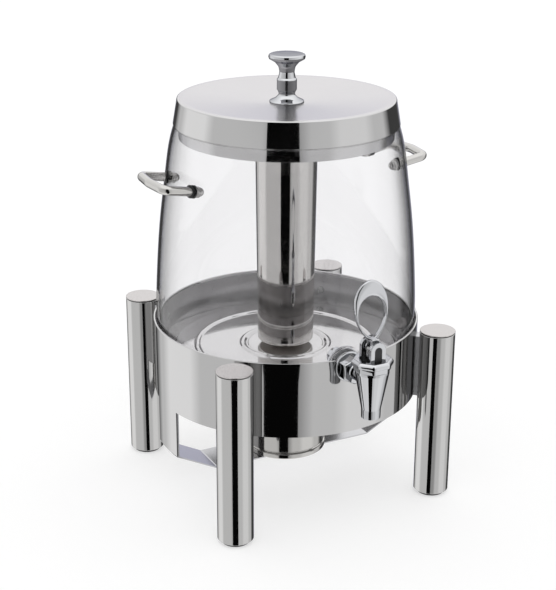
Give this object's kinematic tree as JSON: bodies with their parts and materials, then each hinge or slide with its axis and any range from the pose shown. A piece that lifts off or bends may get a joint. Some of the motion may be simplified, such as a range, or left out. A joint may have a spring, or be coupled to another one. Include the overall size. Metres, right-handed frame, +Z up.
{
  "type": "coffee urn",
  "caption": "Four-legged coffee urn: clear barrel-shaped vessel with lid, central ice tube and two rod handles in a polished ring stand, loop-lever tap in front and fuel burner below.",
  "frame": {"origin": "on the floor, under the middle of the whole object's outline; the urn's own axis is 34.9 mm behind it", "axes": "+Z up, the tap points along -Y, the two vessel handles are on -X and +X"},
  "size_m": [0.3334, 0.3698, 0.493],
  "materials": {
    "mirror_steel": "mirror polished stainless steel",
    "satin_steel": "satin stainless steel",
    "pan_steel": "polished pressed steel",
    "handle_steel": "polished rod",
    "holder_steel": "polished spun steel",
    "fastener_steel": "plain steel",
    "clear_shell": "clear moulded polycarbonate",
    "black_rubber": "moulded rubber",
    "black_nylon": "moulded nylon",
    "grey_silicone": "translucent silicone",
    "chrome_trim": "bright chrome plating",
    "stem_steel": "plain steel"
  },
  "bodies": {
    "stand": {"ring_band": "mirror_steel", "rest_ledge": "satin_steel", "burner_bracket": "satin_steel", "post_front_left": "mirror_steel", "post_front_right": "mirror_steel", "post_back_left": "mirror_steel", "post_back_right": "mirror_steel", "post_caps": "satin_steel", "rubber_feet": "black_rubber", "post_spacers": "satin_steel", "post_screws": "fastener_steel"},
    "fuel_burner": {"fuel_holder": "holder_steel", "snuffer_pin": "holder_steel"},
    "snuffer": {"snuffer_cover": "holder_steel"},
    "vessel": {"body_shell": "clear_shell", "body_pan": "pan_steel", "pan_gasket": "grey_silicone", "pan_clamp_ring": "satin_steel", "pan_clamp_nuts": "fastener_steel", "left_handle": "handle_steel", "right_handle": "handle_steel", "handle_outer_washers": "black_rubber", "handle_inner_washers": "black_rubber", "handle_nuts": "handle_steel", "tap_body": "chrome_trim", "tap_outer_gasket": "grey_silicone", "tap_inner_gasket": "grey_silicone", "tap_lock_nut": "chrome_trim", "tap_bonnet": "chrome_trim", "tap_bearing": "black_nylon", "tap_pivot_pins": "chrome_trim"},
    "tube_set": {"tube_carrier": "mirror_steel", "ice_tube": "mirror_steel"},
    "lid": {"lid_shell": "mirror_steel", "lid_knob": "chrome_trim", "knob_screw": "fastener_steel"},
    "lever": {"tap_lever": "chrome_trim"},
    "stem": {"tap_stem": "stem_steel", "tap_seat": "grey_silicone", "tap_spring": "stem_steel"}
  },
  "joints": [
    {"name": "vessel_lift", "type": "slide", "parent": "stand", "child": "vessel", "axis": [0, 0, 1], "range_m": [0, 0.15]},
    {"name": "tube_lift", "type": "slide", "parent": "vessel", "child": "tube_set", "axis": [0, 0, 1], "range_m": [0, 0.26]},
    {"name": "lid_lift", "type": "slide", "parent": "tube_set", "child": "lid", "axis": [0, 0, 1], "range_m": [0, 0.1]},
    {"name": "lever_swing", "type": "hinge", "parent": "vessel", "child": "lever", "pos_m": [-0.00522, -0.16435, 0.229], "axis": [0.0262, 0.9997, 0], "range_deg": [0, 60], "stiffness_Nm_per_rad": 0.15, "springref_deg": -17.19},
    {"name": "stem_lift", "type": "slide", "parent": "vessel", "child": "stem", "axis": [0, 0, 1], "range_m": [0, 0.00301], "deforming": ["tap_spring"]},
    {"name": "burner_slide", "type": "slide", "parent": "stand", "child": "fuel_burner", "axis": [0, -1, 0], "range_m": [0, 0.2]},
    {"name": "snuffer_swing", "type": "hinge", "parent": "fuel_burner", "child": "snuffer", "pos_m": [-0.0525, 0.03488, 0.089], "axis": [0, 0, 1], "range_deg": [0, 90]}
  ],
  "couplings": [
    {"joint": "stem_lift", "follows": "lever_swing", "m_per_rad": 0.0028648}
  ]
}
